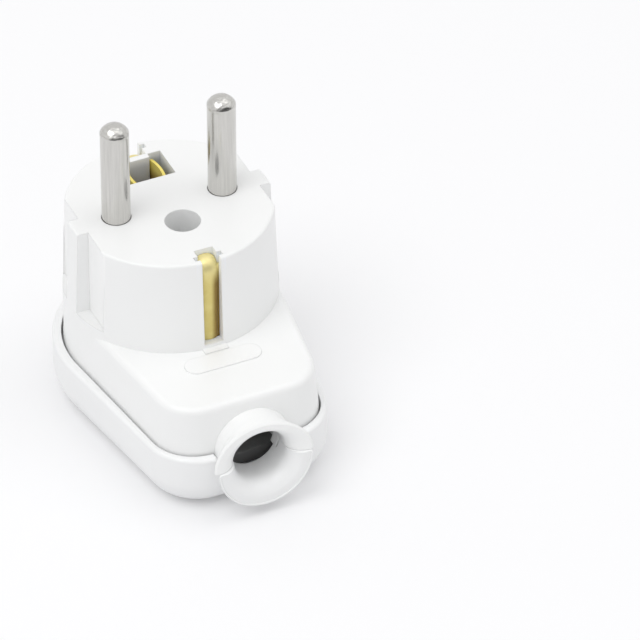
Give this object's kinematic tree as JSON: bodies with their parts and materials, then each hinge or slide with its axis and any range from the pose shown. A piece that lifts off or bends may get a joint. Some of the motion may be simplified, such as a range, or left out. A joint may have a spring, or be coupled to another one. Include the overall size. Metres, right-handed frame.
{
  "type": "earthed mains plug",
  "caption": "Rewireable earthed mains plug: round boss with two round pins, side earth clips, earth-pin window, tapering skirt and a side cord mouth.",
  "frame": {"origin": "on the flat back face that the plug stands on, under the axis of the round boss", "axes": "+Z along the pins, from the back face to the tips; X along the line through both pins; -Y towards the cord"},
  "size_m": [0.0398, 0.0591, 0.0558],
  "materials": {
    "white_plastic": "satin gloss",
    "inner_plastic": "moulded matt",
    "pin_nickel": "nickel plated",
    "clip_brass": "stamped, bright",
    "zinc_steel": "zinc plated"
  },
  "bodies": {
    "root": {"front_housing": "white_plastic", "rear_cover": "white_plastic", "line_pin": "pin_nickel", "neutral_pin": "pin_nickel", "line_terminal_screw": "zinc_steel", "neutral_terminal_screw": "zinc_steel", "pin_retainer": "inner_plastic", "pin_retainer_screw": "zinc_steel", "earth_bow": "clip_brass", "earth_socket": "clip_brass", "earth_rivet": "clip_brass", "earth_saddle": "zinc_steel", "earth_terminal_screw": "zinc_steel", "cord_clamp": "inner_plastic", "cord_clamp_screw_left": "zinc_steel", "cord_clamp_screw_right": "zinc_steel", "housing_screw": "zinc_steel", "threaded_insert": "clip_brass"}
  },
  "joints": []
}
